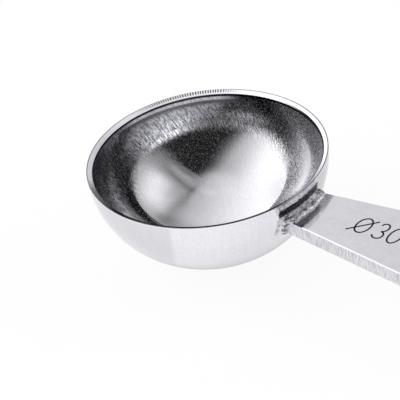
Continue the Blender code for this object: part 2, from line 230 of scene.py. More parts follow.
def skin_loops(bm, loops, ring=False):
    """Joins stacked loops of equal length with quads, and a ring's last one with its first."""
    rows = [[bm.verts.new(point) for point in loop] for loop in loops]
    for low, high in zip(rows, rows[1:] + rows[:ring]):
        for i in range(len(low)):
            j = (i + 1) % len(low)
            bm.faces.new((low[i], low[j], high[j], high[i]))
    return rows


def rounded_corner(before, corner, after, reach):
    """Points of a small rounding that starts at this reach on both sides of a corner."""
    corner = Vector(corner)
    start, end = (corner + (Vector(side) - corner).normalized() * reach for side in (before, after))
    steps = shares(ROUNDING_STEPS)
    return [tuple(start * (1 - t) ** 2 + corner * 2 * t * (1 - t) + end * t**2) for t in steps]


# Cup


def wall_points(radius, depth, top):
    """Points up a half-ellipsoid's wall, from its lowest point to the height top."""
    last = math.asin(-top / depth)
    angles = [math.pi / 2 + (last - math.pi / 2) * t for t in shares(CUP_WALL_STEPS)[1:]]
    return [(0.0, -depth)] + [(radius * math.cos(a), -depth * math.sin(a)) for a in angles]


def rim_points():
    """The ground rim from its outer to its inner edge, slightly domed."""
    outer = RIM_RADIUS - SKIN
    return [(outer - CUP_WALL * t, -SKIN - RIM_INNER_DROP * t**RIM_DOME) for t in shares(RIM_STEPS)]


def make_cup():
    """The cup as one closed shell; the rim and both walls have their own finish."""
    outer_radius = RIM_RADIUS - SKIN
    outer_depth = CUP_DEPTH - SKIN
    outer = wall_points(outer_radius, outer_depth, -RIM_OUTER_ROUNDING)
    inner_top = -RIM_INNER_DROP - RIM_INNER_ROUNDING
    inner = wall_points(outer_radius - CUP_WALL, outer_depth - CUP_WALL, inner_top)[::-1]
    face = rim_points()
    outer_edge = rounded_corner(outer[-1], face[0], face[1], RIM_OUTER_ROUNDING)
    inner_edge = rounded_corner(face[-2], face[-1], inner[0], RIM_INNER_ROUNDING)
    middle = [p for p in face[1:-1] if inner_edge[0][0] < p[0] < outer_edge[-1][0]]
    rim = outer_edge + middle + inner_edge
    finishes = [0] * len(outer[:-1]) + [1] * (len(rim) - 1) + [2] * len(inner)
    bm = bmesh.new()
    spin_profile(bm, outer[:-1] + rim + inner, CUP_SEGMENTS, materials=finishes)
    return new_piece("cup_shell", bm, (polished_outside, ground_rim, brushed_inside))


# Strip outline and weld


def cup_x(y, z):
    """X of the cup's outer surface on the handle's side, at a height and a side offset."""
    radius = RIM_RADIUS * math.sqrt(1.0 - (z / CUP_DEPTH) ** 2)
    return math.sqrt(radius**2 - y**2)


def half_width(x):
    """Half width of the plan outline and its slope, a smooth curve through the stations."""
    pairs = (pair for pair in zip(STATIONS, STATIONS[1:]) if x <= pair[1][0])
    (x0, w0, m0), (x1, w1, m1) = next(pairs, STATIONS[-2:])
    length = x1 - x0
    t = (x - x0) / length
    width = w0 * (1 + 2 * t) * (1 - t) ** 2 + w1 * t**2 * (3 - 2 * t)
    width += length * t * (1 - t) * (m0 * (1 - t) - m1 * t)
    slope = 6 * t * (1 - t) * (w1 - w0) / length + m0 * (1 - t) * (1 - 3 * t) + m1 * t * (3 * t - 2)
    return width, slope


def side_point(x):
    """A point on the far side of the plan outline, with its outward normal."""
    width, slope = half_width(x)
    return Vector((x, width)), Vector((-slope, 1.0)).normalized()


def weld_contour():
    """Points round the strip's section at the cup: (point in Y and Z, outward direction)."""
    half = Vector((half_width(cup_x(0.0, STRIP_MIDDLE_Z))[0], STRIP_THICKNESS / 2))
    corner = Vector((WELD_CORNER_RADIUS, WELD_CORNER_RADIUS))
    flats = 2 * (half - corner)
    contour = []
    for quarter in range(4):
        first = quarter * math.pi / 2
        diagonal = Vector((math.cos(first + math.pi / 4), math.sin(first + math.pi / 4)))
        centre = Vector([math.copysign(flat / 2, side) for flat, side in zip(flats, diagonal)])
        for t in shares(WELD_CORNER_STEPS):
            angle = first + math.pi / 2 * t
            normal = Vector((math.cos(angle), math.sin(angle)))
            contour.append((centre + normal * WELD_CORNER_RADIUS, normal))
        start = contour[-1][0]
        forward = Vector((-normal.y, normal.x))
        length = flats[quarter % 2]
        count = max(1, round(length / WELD_SIDE_STEP))
        contour += [(start + forward * length * i / count, normal) for i in range(1, count)]
    return contour


def weld_leg(point):
    """The weld's reach at a place: even ripples with lumps over them."""
    ripple = math.cos(math.tau * (point.x + point.y) / WELD_RIPPLE_PITCH)
    lump = noise.noise(Vector((point.x, point.y, 0.0)) / WELD_LUMP_PITCH)
    return WELD_LEG + WELD_RIPPLE_HEIGHT / 2 * ripple + WELD_LUMP_HEIGHT * lump


def off_wall(point, distance):
    """The place at a distance off the cup's wall, for a point of the strip's section."""
    y, z = point.x, point.y + STRIP_MIDDLE_Z
    return Vector((cup_x(y, z) + distance, y, z))


def make_weld():
    """The weld, a lumpy fillet that runs out furthest over the strip's upper face."""
    contour = weld_contour()
    loops = []
    for t in shares(WELD_ARC_STEPS):
        angle = math.pi / 2 * t
        loop = []
        for point, normal in contour:
            leg = weld_leg(point)
            reach = leg + (WELD_TOP_REACH - WELD_LEG) * max(0.0, normal.y)
            moved = point + normal * (leg * math.cos(angle) - WELD_ROOT * (t == 1))
            loop.append(off_wall(moved, reach * math.sin(angle) - WELD_ROOT * (t == 0)))
        loops.append(loop)
    sunk = [off_wall(point - normal * WELD_ROOT, -WELD_ROOT) for point, normal in contour]
    bm = bmesh.new()
    skin_loops(bm, loops + [sunk], ring=True)
    return new_piece("weld", bm, (weld_steel,), sharp_angle=WELD_SHARP_ANGLE)


# Grip scales


def butt_arc():
    """The far half of the rounded butt, from the side to the tip."""
    half = GRIP_BUTT_WIDTH / 2
    points = []
    for t in shares(BUTT_STEPS)[1:]:
        angle = math.pi / 2 * (1 - t)
        side = half * math.sin(angle) if t < 1 else 0.0
        point = Vector((BUTT_START + (GRIP_BUTT_LENGTH - SKIN) * math.cos(angle), side))
        normal = Vector((half * math.cos(angle), GRIP_BUTT_LENGTH * math.sin(angle))).normalized()
        points.append((point, normal))
    return points


def nose_corner():
    """The scale's rounded front corner, an elliptical arc that ends on the side."""
    centre_x = GRIP_START + SCALE_CORNER_LENGTH
    centre_y = half_width(centre_x)[0] - SCALE_CORNER_WIDTH
    points = []
    for t in shares(CORNER_STEPS)[:-1]:
        angle = math.pi * (1 - t / 2)
        arc = Vector((SCALE_CORNER_LENGTH * math.cos(angle), SCALE_CORNER_WIDTH * math.sin(angle)))
        points.append((Vector((centre_x, centre_y)) + arc, Vector((0.0, math.sin(angle)))))
    return points


def far_side():
    """The far half of a scale's plan outline with its normals, from the nose to the butt."""
    nose_x = GRIP_START + SCALE_CORNER_LENGTH
    body_x = GRIP_START + SCALE_NOSE_LENGTH
    nose = [side_point(nose_x + (body_x - nose_x) * t) for t in shares(NOSE_STEPS)[:-1]]
    body = [side_point(body_x + (BUTT_START - body_x) * t) for t in shares(GRIP_STEPS)]
    return nose_corner() + nose + body + butt_arc()


def scale_height(x):
    """Share of the scale's full thickness at X: the nose rises along a quarter ellipse."""
    nose = SCALE_NOSE_HEIGHT / SCALE_THICKNESS
    back = min(1.0, max(0.0, 1.0 - (x - GRIP_START) / SCALE_NOSE_LENGTH))
    return nose + (1 - nose) * math.sqrt(1 - back**2)


def scale_loops(side):
    """Stacked loops of a scale, from the bonded face up the wall and over the rounded edge."""
    far = far_side()
    base_z = STRIP_MIDDLE_Z + side * SCALE_INNER_Z
    loops = [[Vector((p.x, p.y, base_z)) for p, _ in far]]
    for t in shares(EDGE_STEPS):
        angle = math.pi / 2 * t
        inset = SCALE_EDGE_ROUNDING * (1 - math.cos(angle))
        height = SCALE_WALL_HEIGHT + (SCALE_THICKNESS - SKIN - SCALE_WALL_HEIGHT) * math.sin(angle)
        loop = []
        for point, normal in far:
            moved = point - normal * inset
            loop.append(Vector((moved.x, moved.y, base_z + side * height * scale_height(moved.x))))
        loops.append(loop)
    return [loop + [Vector((p.x, -p.y, p.z)) for p in reversed(loop[:-1])] for loop in loops]


def close_across(bm, row):
    """Closes a symmetric loop with strips from side to side."""
    count = len(row)
    for i in range(count // 2):
        corners = (row[i], row[i + 1], row[-2 - i], row[-1 - i])
        bm.faces.new(list(dict.fromkeys(corners)))


def stepped_bore(bm, x, bore, seat, seat_floor):
    """A cutter for a through hole with a wider seat at both faces of the grip."""
    top = SCALE_OUTER_Z + CUTTER_OVERRUN
    upper = [(bore, seat_floor), (seat, seat_floor), (seat, top), (0.0, top)]
    lower = [(radius, -height) for radius, height in reversed(upper)]
    outline = [(radius, STRIP_MIDDLE_Z + height) for radius, height in lower + upper]
    spin_profile(bm, outline, TURNED_SEGMENTS, centre=(x, 0.0))


def bore_holes(scale):
    """Cuts the seats of the rivets and the tube through a scale."""
    bm = bmesh.new()
    seat_floor = HEAD_INNER_Z - SEAT_GAP
    for _, x in RIVET_PLACES:
        stepped_bore(bm, x, RIVET_SOCKET_RADIUS + SEAT_GAP, RIVET_HEAD_RADIUS + SEAT_GAP, seat_floor)
    tube = TUBE_BORE_RADIUS + TUBE_WALL + SEAT_GAP
    stepped_bore(bm, HOLE_X, tube, tube + TUBE_LIP, HEAD_OUTER_Z - TUBE_LIP_HEIGHT - SEAT_GAP)
    cutter = new_piece("cutter", bm, (), UNMOVED)
    boolean = scale.modifiers.new("holes", "BOOLEAN")
    boolean.object = cutter
    graph = bpy.context.evaluated_depsgraph_get()
    bored = bpy.data.meshes.new_from_object(scale.evaluated_get(graph))
    bored.set_sharp_from_angle(angle=SHARP_ANGLE)
    scale.modifiers.remove(boolean)
    scale.data = bored
    bpy.data.objects.remove(cutter)


def make_scale(name, side):
    """A grip scale on the strip's upper face for side 1, and on its lower face for side -1."""
    bm = bmesh.new()
    rows = skin_loops(bm, scale_loops(side))
    close_across(bm, rows[0])
    close_across(bm, rows[-1])
    scale = new_piece(name, bm, (grip_plastic,), UNMOVED)
    bore_holes(scale)
    scale.data.transform(PLACEMENT)
    return scale


# Rivets and hanging tube


def turned_piece(name, outline, x):
    """A piece turned round an upright axis at X, with heights from the strip's middle."""
    bm = bmesh.new()
    closed = [(radius, STRIP_MIDDLE_Z + height) for radius, height in outline]
    spin_profile(bm, closed, TURNED_SEGMENTS, centre=(x, 0.0))
    bmesh.ops.remove_doubles(bm, verts=bm.verts, dist=MERGE_DISTANCE)
    return new_piece(name, bm, (rivet_steel,))


def head_outline(side):
    """A rivet head from its axis over its broken edge to its underside."""
    flat = RIVET_HEAD_RADIUS - RIVET_HEAD_BREAK
    edge = rounded_corner((0.0, HEAD_OUTER_Z), (RIVET_HEAD_RADIUS, HEAD_OUTER_Z), (RIVET_HEAD_RADIUS, 0.0),
                          RIVET_HEAD_BREAK)
    points = [(0.0, HEAD_OUTER_Z), (flat / 2, HEAD_OUTER_Z)] + edge + [(RIVET_HEAD_RADIUS, HEAD_INNER_Z)]
    return [(radius, side * height) for radius, height in points]


def make_rivet(name, x, side, stem_radius):
    """One half of a rivet: its ground head and its stem through the strip."""
    stem = [(stem_radius, side * HEAD_INNER_Z), (stem_radius, -side * (HEAD_INNER_Z - RIVET_HEAD_HEIGHT))]
    tip = [(0.0, stem[-1][1])]
    return turned_piece(name, head_outline(side) + stem + tip, x)


def make_tube():
    """The tube that lines the hanging hole, with a rolled lip at both faces."""
    bore = TUBE_BORE_RADIUS
    wall = bore + TUBE_WALL
    lip = wall + TUBE_LIP
    under = HEAD_OUTER_Z - TUBE_LIP_HEIGHT
    crown = [(lip, under + TUBE_LIP_HEIGHT / 3)]
    crown += rounded_corner((lip, under), (lip, HEAD_OUTER_Z), (bore, HEAD_OUTER_Z), TUBE_LIP_HEIGHT / 2)
    crown += rounded_corner((lip, HEAD_OUTER_Z), (bore, HEAD_OUTER_Z), (bore, under), TUBE_LIP_HEIGHT / 2)
    upper = [(wall, under), (lip, under)] + crown
    lower = [(radius, -height) for radius, height in reversed(upper)]
    outline = upper + lower
    return turned_piece("tube_lining", outline + outline[:1], HOLE_X)


# Size mark


def arc(centre, radii, first, last):
    """Points of an elliptical arc in millimetres, from one angle to another in degrees."""
    turns = (math.radians(first + (last - first) * t) for t in shares(MARK_ARC_STEPS))
    return [Vector(centre) + Vector((radii[0] * math.cos(a), radii[1] * math.sin(a))) for a in turns]


def mark_strokes():
    """Centre lines of the diameter sign, the three and the nought, in millimetres on the strip."""
    slash = [Vector(end) for end in MARK_SLASH]
    three = [point for bow in MARK_THREE for point in arc(*bow)]
    return (arc(*MARK_RING), slash, three, arc(*MARK_NOUGHT))


def stroke_sections(points):
    """The four corners of a thin ridge of even width at each point of its centre line."""
    half = MARK_STROKE / MM / 2
    low, high = STRIP_TOP_Z - MARK_SUNK, STRIP_TOP_Z + MARK_PROUD
    sections = []
    for i, point in enumerate(points):
        forward = (points[min(i + 1, len(points) - 1)] - points[max(i - 1, 0)]).normalized()
        side = Vector((-forward.y, forward.x)) * half
        left, right = point + side, point - side
        corners = ((left, low), (left, high), (right, high), (right, low))
        sections.append([(p.x * MM, p.y * MM, z) for p, z in corners])
    return sections


def add_stroke(bm, points):
    """A thin ridge along one centre line, which runs back into itself or has two square ends."""
    ring = (points[0] - points[-1]).length < MARK_STROKE / MM / 10
    sections = stroke_sections(points)
    rows = skin_loops(bm, sections[:-1] if ring else sections, ring)
    if not ring:
        bm.faces.new(rows[0])
        bm.faces.new(rows[-1][::-1])


def make_mark():
    bm = bmesh.new()
    for points in mark_strokes():
        add_stroke(bm, points)
    return new_piece("size_mark", bm, (etched_black,))


# Materials

WHITE = (1.0, 1.0, 1.0, 1.0)
STEEL_TINT = (0.985, 0.987, 1.035)

# Sides of the cup: a bearing in degrees from the handle, and the cosines to it between which a side fades in
HANDLE_SIDE = (0.0, -0.10, 0.50)
BY_THE_HANDLE = (0.0, 0.25, 0.55)
SWEEP_SIDE = (0.0, 0.14, 0.66)
LIT_SIDE = (60.0, -0.75, 0.50)
NEAR_LEFT = (-130.0, 0.55, 0.85)
WALL_SHADE_SIDE = (107.0, 0.945, 0.985)
LIP_PAINTED_SIDE = (145.0, 0.80, 0.95)
RIM_HANDLE_SIDE = (40.0, 0.60, 0.90)
RIM_NEAR_SIDE = (-60.0, 0.40, 0.80)
GREYER_SIDE = (27.0, 0.90, 0.97)

# Inner wall: depths in mm below the rim between which each of its finishes, painted highlights and painted
# shades fades out
EDGE_SHADE_DEPTHS = (0.58, 0.70)
LIP_HIGHLIGHT_DEPTHS = (0.95, 1.20)
LIP_SHADE_DEPTHS = (1.35, 1.80)
WALL_SHADE_DEPTHS = (2.4, 3.7)
STREAKED_DEPTHS = (4.0, 6.5)
BRUSHED_DEPTHS = (6.0, 9.0)
MATT_DEPTHS = (9.5, 11.5)

# Inner wall: how many mm deeper the streaks and their painted shade run on some sides, and how the strokes
# lean as they run down
DEEPER_STREAKS_AND_SHADE = ((HANDLE_SIDE, 3.0), (BY_THE_HANDLE, 2.2), (NEAR_LEFT, 3.0))
STROKES_LEAN = (-0.016, 0.034, 0.0)

# Inner wall's grain: the share of hairs in it and of pits on the handle's side, and its greys: of its dark
# and its bright specks, each where the wall is plain, and where it is streaked, with painted shade off the
# lit side and painted light on it
HAIR_SHARE = 0.75
PITTED_SHARE = 0.8
SPECK_WINDOW = (0.43, 0.57)
SPECK_GREYS = ((0.60, (0.12, 0.26)), (0.66, (0.60, 1.00)))

# Painted highlight sweep on the inner wall: planes across a direction, with the mm along it where each
# begins and ends
SWEEP_TOP = (0.253, 0.756, -0.604)
SWEEP_TOP_EDGE = (12.93, 13.20)
SWEEP_FOOT = (0.054, 0.727, -0.685)
SWEEP_FOOT_EDGE = (12.20, 12.95)

# How matt, rather than metallic, parts of the inner wall are; the handle's side is so less near the rim
HANDLE_SIDE_MATT = 0.58
MATT_GROWTH = (3.5, 6.0, 0.3, 1.0)
LIP_HIGHLIGHT_MATT = 0.9
SWEEP_MATT = 0.8
PITS_MATT = (0.50, 0.68, 0.0, 0.2)

# Rim: radii in mm of its painted shade outline, its painted shade edge lines and its hatched outer half, the
# angles in radians where it is coarse and where it has painted shade, its strokes per radian with their
# drift, and how metallic it is
OUTLINE_SHADE_RADII = (14.80, 14.88)
EDGE_SHADE_RADII = (14.38, 14.48)
NEAR_EDGE_SHADE_RADII = (14.80, 14.92)
HATCHED_RADII = (14.40, 14.60)
COARSE_ANGLES = ((1.85, 2.15), (2.65, 3.00))
RIM_SHADE_ANGLES = ((-2.36, -2.12), (-1.70, -1.45))
RIM_STROKES = 285.0
STROKE_DRIFT = 6.0
RIM_METALLIC = 0.65

# Outer wall: painted light on one side, as a bearing and the mm along it where it begins, and a painted
# highlight along its top edge
PAINTED_LIGHT_SIDE = (42.85, -6.15, -5.45)
TOP_EDGE_HIGHLIGHT_HEIGHTS = (-0.22, -0.10)

# Heat marks on the outer wall over the strip, the darkest also painted shade, each between two side offsets
# and two heights in mm
TINT_ZONE = ((-4.0, 2.1), (-3.4, 1.0))
SPATTER_ZONE = ((-4.75, -4.35), (-4.4, -2.0))
SMEAR_ZONE = ((-4.6, 2.7), (-3.4, -1.7))
BURN_AND_SHADE_ZONE = ((-4.6, 2.7), (-1.85, -0.80))
ZONES_FROM_X = (10.0, 12.0)
ZONE_FADE = 0.15
RAGGED_WIDTH = 1.3
RAGGED_FLATNESS = 0.6

# Strip: how far up its faces and its sides turn, and where the heat tint ends, in mm from the cup's axis
FACE_TURN = (0.88, 0.98)
SIDE_TURN = (0.30, 0.62)
HEAT_RADII = (16.9, 17.3)

# Mottled steels: the readings of a noise between which the grey changes, and the grey at each of them
WALL_SHADE_GREYS = ((0.42, 0.60), (0.03, 0.32))
LIP_HIGHLIGHT_GREYS = ((0.36, 0.52), (0.45, 1.00))
GROUND = ((0.30, 0.70), (0.86, 0.95))
DULLER = ((0.45, 0.80), (0.71, 0.77))
PAINTED_LIGHT_GREYS = ((0.45, 0.80), (0.82, 0.91))
TINTED = ((0.38, 0.62), (0.32, 0.62))
SMEARED = ((0.34, 0.58), (0.32, 0.94))
BURNT_AND_SHADED = ((0.50, 0.70), (0.006, 0.34))
COOL = ((0.55, 1.05), (0.80, 0.88))
SCORCHED = ((0.35, 0.65), (0.42, 0.74))
SHEARED = ((0.34, 0.60), (0.54, 0.82))
WELDED = ((0.84, 1.12), (0.16, 0.94))
TURNED = ((0.35, 0.65), (0.58, 0.70))

# Plain greys, and pairs of them from one side or stroke to the next
EDGE_SHADE_GREY = 0.01
EDGE_SHADE_TINT_GREY = 0.05
LIP_SHADE_GREY = 0.22
SWEEP_HIGHLIGHT_GREY = 1.00
RIM_SHADE_GREY = 0.30
OUTLINE_SHADE_GREYS = (0.26, 0.06)
HATCHED_GREYS = (0.88, 0.03)
GREYER_SIDE_GREY = 0.62
TOP_EDGE_HIGHLIGHT_GREY = 0.98
STRIP_EDGE_HIGHLIGHT_GREY = 0.94

# Blacks: the plastic's, moulded and worn, and the etched mark's
PLASTIC_BLACKS = ((0.014, 0.014, 0.015, 1.0), (0.022, 0.022, 0.024, 1.0))
WORN_BLACK = (0.045, 0.045, 0.047, 1.0)
WORN_POINTINESS = (0.505, 0.56)
ETCHED_BLACKS = ((0.002, 0.002, 0.003, 1.0), (0.012, 0.012, 0.013, 1.0))
ETCHED_SPECULAR = 0.1

# Noises: cells per mm along all axes, or along the tool, across it and upwards; then detail and roughness
GRAIN = (6.0, 2.0)
PITS = (6.0, 2.5)
WAVES = (0.35, 2.0)
MOTTLE = (4.5, 5.0, 0.75)
RAGS = (2.6, 5.0)
SATIN = ((1.2, 9.0, 1.0), 3.0)
CLOUDS = ((0.4, 0.7, 0.4), 2.0)
SHEARING = ((10.0, 10.0, 0.8), 2.0, 0.6)
SCORCHING = ((4.0, 4.0, 1.0), 4.0, 0.8)
WELD_SPECKS = ((7.5, 3.0, 7.5), 4.0, 0.8)
WELD_PATCHES = ((2.4, 0.9, 2.4), 3.0)
TURNING = ((0.8, 14.0, 2.0), 3.0)
MOULD_GRAIN = (5.0, 3.0, 0.6)
MOULD_FLOW = ((0.12, 0.25, 0.25), 2.0)
ETCHING = (9.0, 2.0)

# Noises round the cup: cells per radian, and for those on its walls cells per mm down; then as above
RIM_GRAIN = (90.0, 2.0)
RIM_UNEVENNESS = (9.0, 2.0)
HAIRS = (140.0, 1.7, 1.5, 0.6)
BUFFING = (40.0, 0.3, 3.0)

# Roughness: the two readings between which it changes, with its value at each, and the strip's least one
INSIDE_ROUGHNESS = (0.0, 1.0, 0.03, 0.08)
RIM_ROUGHNESS = (0.30, 0.70, 0.08, 0.14)
OUTSIDE_ROUGHNESS = (0.30, 0.70, 0.06, 0.08)
FACE_ROUGHNESS = (0.30, 0.70, 0.08, 0.12)
SHEARED_ROUGHNESS = (0.35, 0.65, 0.14, 0.26)
LEAST_ROUGHNESS = 0.08
WELD_ROUGHNESS = (0.35, 0.65, 0.42, 0.28)
TURNED_ROUGHNESS = (0.30, 0.70, 0.18, 0.30)
PLASTIC_ROUGHNESS = (0.5, 1.0, 0.34, 0.50)
ETCHED_ROUGHNESS = (0.30, 0.70, 0.5, 0.7)

# Relief in mm, the share of it that the bottom and the brushed wall have, and the brushing's anisotropy
RELIEF = 0.01
INSIDE_RELIEF = 0.014
RIM_RELIEF = 0.006
WELD_RELIEF = 0.02
TURNED_RELIEF = 0.008
MOULD_RELIEF = 0.03
BRUSHED_HEIGHT = (0.0, 1.0, 0.03, 1.0)
BRUSHED_ANISOTROPY = 0.75


class Nodes:
    """Short calls that add and join the nodes of one shader tree."""

    def __init__(self, tree):
        self.tree = tree
        tree.nodes.clear()

    def add(self, kind, inputs=None, **settings):
        node = self.tree.nodes.new(kind)
        for key, value in settings.items():
            setattr(node, key, value)
        for name, value in (inputs or {}).items():
            if isinstance(value, bpy.types.NodeSocket):
                self.tree.links.new(value, node.inputs[name])
            else:
                node.inputs[name].default_value = value
        return node

    def math(self, operation, *values):
        return self.add("ShaderNodeMath", dict(enumerate(values)), operation=operation).outputs[0]

    def plus(self, base, value, share=1.0):
        return self.math("MULTIPLY_ADD", value, share, base)

    def times(self, first, *others):
        for value in others:
            first = self.math("MULTIPLY", first, value)
        return first

    def most(self, first, *others):
        for value in others:
            first = self.math("MAXIMUM", first, value)
        return first

    def vector(self, operation, *values):
        node = self.add("ShaderNodeVectorMath", dict(enumerate(values)), operation=operation)
        return node.outputs["Value" if operation in ("LENGTH", "DOT_PRODUCT") else "Vector"]

    def scaled(self, vector, factors):
        return self.vector("MULTIPLY", vector, factors)

    def parts(self, vector):
        return self.add("ShaderNodeSeparateXYZ", {0: vector}).outputs

    def noise(self, vector, cells=1.0, detail=2.0, roughness=0.5):
        if isinstance(cells, tuple):
            vector, cells = self.scaled(vector, cells), 1.0
        inputs = {"Vector": vector, "Scale": cells, "Detail": detail, "Roughness": roughness}
        return self.add("ShaderNodeTexNoise", inputs).outputs[0]

    def meridian_noise(self, outward, point, around, down, *settings):
        """Noise drawn out down the cup's wall."""
        place = self.vector("ADD", self.scaled(outward, (around, around, 0.0)),
                            self.scaled(point, (0.0, 0.0, down)))
        return self.noise(place, 1.0, *settings)

    def remap(self, value, low, high, to_low=0.0, to_high=1.0):
        inputs = {"Value": value, "From Min": low, "From Max": high, "To Min": to_low, "To Max": to_high}
        return self.add("ShaderNodeMapRange", inputs, interpolation_type="SMOOTHSTEP").outputs[0]

    def fall(self, value, low, high):
        return self.remap(value, low, high, 1.0, 0.0)

    def between(self, value, rise, fall):
        return self.times(self.remap(value, *rise), self.fall(value, *fall))

    def side(self, vector, bearing, low, high):
        """Rises from 0 to 1 as a vector's reach along a bearing from the handle goes from low to high."""
        turn = math.radians(bearing)
        reach = self.vector("DOT_PRODUCT", vector, (math.cos(turn), math.sin(turn), 0.0))
        return self.remap(reach, low, high)

    def blend(self, factor, first, second):
        node = self.add("ShaderNodeMix", {0: factor, 6: first, 7: second}, data_type="RGBA")
        return node.outputs[2]

    def layers(self, colour, *layers):
        """A colour under layers, each given as its cover and its own colour."""
        for cover, look in layers:
            colour = self.blend(cover, colour, look)
        return colour

    def greys(self, factor, first, second):
        return self.blend(factor, steel(first), steel(second))

    def mottled(self, value, window, levels):
        return self.greys(self.remap(value, *window), *levels)

    def tool_point(self):
        """The shaded point in the tool's frame, in millimetres."""
        back = PLACEMENT.inverted()
        turned = self.add("ShaderNodeMapping", {
            "Vector": self.add("ShaderNodeTexCoord").outputs["Object"],
            "Location": back.to_translation(),
            "Rotation": back.to_euler(),
        }).outputs[0]
        return self.scaled(turned, (1 / MM, 1 / MM, 1 / MM))

    def off_axis(self, point):
        return self.scaled(point, (1.0, 1.0, 0.0))

    def outward(self, point):
        """The outward direction from the cup's axis, the same all the way down a meridian."""
        return self.vector("NORMALIZE", self.off_axis(point))

    def surface(self, colour, roughness, height, depth, metallic=1.0, others=None):
        """A surface with relief, whose height is a share of this depth in millimetres."""
        bump = self.add("ShaderNodeBump", {"Height": height, "Distance": depth * MM}).outputs[0]
        inputs = {"Base Color": colour, "Roughness": roughness, "Normal": bump, "Metallic": metallic}
        return self.add("ShaderNodeBsdfPrincipled", inputs | (others or {}))

    def show(self, shader, output="ShaderNodeOutputMaterial"):
        self.add(output, {"Surface": shader.outputs[0]})


def steel(level):
    """A metal grey of this level, a touch bluer than neutral."""
    return (*(level * tint for tint in STEEL_TINT), 1.0)


def new_material(name):
    made = bpy.data.materials.new(name)
    made.use_nodes = True
    return made, Nodes(made.node_tree)


def material(shader):
    """Turns a function that gives the shader at a point of the tool into a material of its name."""
    made, n = new_material(shader.__name__)
    n.show(shader(n, n.tool_point()))
    return made


def brushed_lines(n, point, outward, depth):
    """Hairs down the meridians, which lean a little as they run down, over an even grain."""
    lean = n.times(depth, n.vector("DOT_PRODUCT", outward, STROKES_LEAN))
    leaning = n.add("ShaderNodeVectorRotate", {"Vector": outward, "Angle": lean}, rotation_type="Z_AXIS")
    hairs = n.meridian_noise(leaning.outputs[0], point, *HAIRS)
    return n.plus(n.times(hairs, HAIR_SHARE), n.noise(point, *GRAIN), 1.0 - HAIR_SHARE)


def painted_highlight_sweep(n, point, outward):
    """1 in the painted highlight sweep on the handle's far side, with a sharp edge above and a soft one
    below.
    """
    top = n.remap(n.vector("DOT_PRODUCT", point, SWEEP_TOP), *SWEEP_TOP_EDGE)
    foot = n.fall(n.vector("DOT_PRODUCT", point, SWEEP_FOOT), *SWEEP_FOOT_EDGE)
    return n.times(top, foot, n.side(outward, *SWEEP_SIDE))


def speckled_greys(n, outward, depth, specks):
    """The inner wall's specks, close in grey at the bottom and far apart in the streaks, with painted light
    on the lit side and painted shade off it.
    """
    lit_side = n.side(outward, *LIT_SIDE)
    end = depth
    for side, deeper in DEEPER_STREAKS_AND_SHADE:
        end = n.plus(end, n.side(outward, *side), -deeper)
    streaked = n.fall(end, *STREAKED_DEPTHS)
    # painted light and shade: in the streaks the specks are lighter on the lit side and darker off it
    dark, bright = (n.blend(streaked, steel(plain), n.greys(lit_side, *lit)) for plain, lit in SPECK_GREYS)
    return n.blend(n.remap(specks, *SPECK_WINDOW), dark, bright)


@material
def brushed_inside(n, point):
    """The cup's inner wall: polished at the bottom, and brushed towards the rim, with painted highlights and
    painted shade near the rim.
    """
    outward = n.outward(point)
    depth = n.times(n.parts(point)[2], -1.0)
    handle_side = n.side(outward, *HANDLE_SIDE)
    brushed = n.fall(depth, *BRUSHED_DEPTHS)
    lines = brushed_lines(n, point, outward, depth)
    pits = n.noise(point, *PITS)
    specks = n.plus(lines, n.math("SUBTRACT", pits, lines), n.times(handle_side, PITTED_SHARE))
    # painted highlight: a bright band just under the rim on the far-left side, with a band of painted shade
    # below it
    lip_painted_side = n.side(outward, *LIP_PAINTED_SIDE)
    lip = n.times(lip_painted_side, n.fall(depth, *LIP_HIGHLIGHT_DEPTHS))
    highlight_sweep = painted_highlight_sweep(n, point, outward)
    colour = n.layers(
        speckled_greys(n, outward, depth, specks),
        # painted shade: a dark, mottled patch under the rim on the side 107 degrees from the handle
        (n.times(n.side(outward, *WALL_SHADE_SIDE), n.fall(depth, *WALL_SHADE_DEPTHS), 0.9), n.mottled(pits, *WALL_SHADE_GREYS)),
        (n.times(lip_painted_side, n.fall(depth, *LIP_SHADE_DEPTHS)), steel(LIP_SHADE_GREY)),
        (lip, n.mottled(specks, *LIP_HIGHLIGHT_GREYS)),
        # painted highlight: a near-white sweep on the handle's far side
        (highlight_sweep, steel(SWEEP_HIGHLIGHT_GREY)),
        # painted shade: a near-black line just under the rim's inner edge
        (n.fall(depth, *EDGE_SHADE_DEPTHS), steel(EDGE_SHADE_GREY)))
    matt = n.times(handle_side, HANDLE_SIDE_MATT, n.fall(depth, *MATT_DEPTHS), n.remap(depth, *MATT_GROWTH))
    matt = n.most(matt, n.times(lip, LIP_HIGHLIGHT_MATT), n.times(highlight_sweep, SWEEP_MATT), n.remap(pits, *PITS_MATT))
    height = n.times(lines, n.remap(brushed, *BRUSHED_HEIGHT))
    tangent = n.vector("CROSS_PRODUCT", (0.0, 0.0, 1.0), outward)
    return n.surface(colour, n.remap(brushed, *INSIDE_ROUGHNESS), height, INSIDE_RELIEF,
                     n.math("SUBTRACT", 1.0, matt), {"Anisotropic": BRUSHED_ANISOTROPY, "Tangent": tangent})


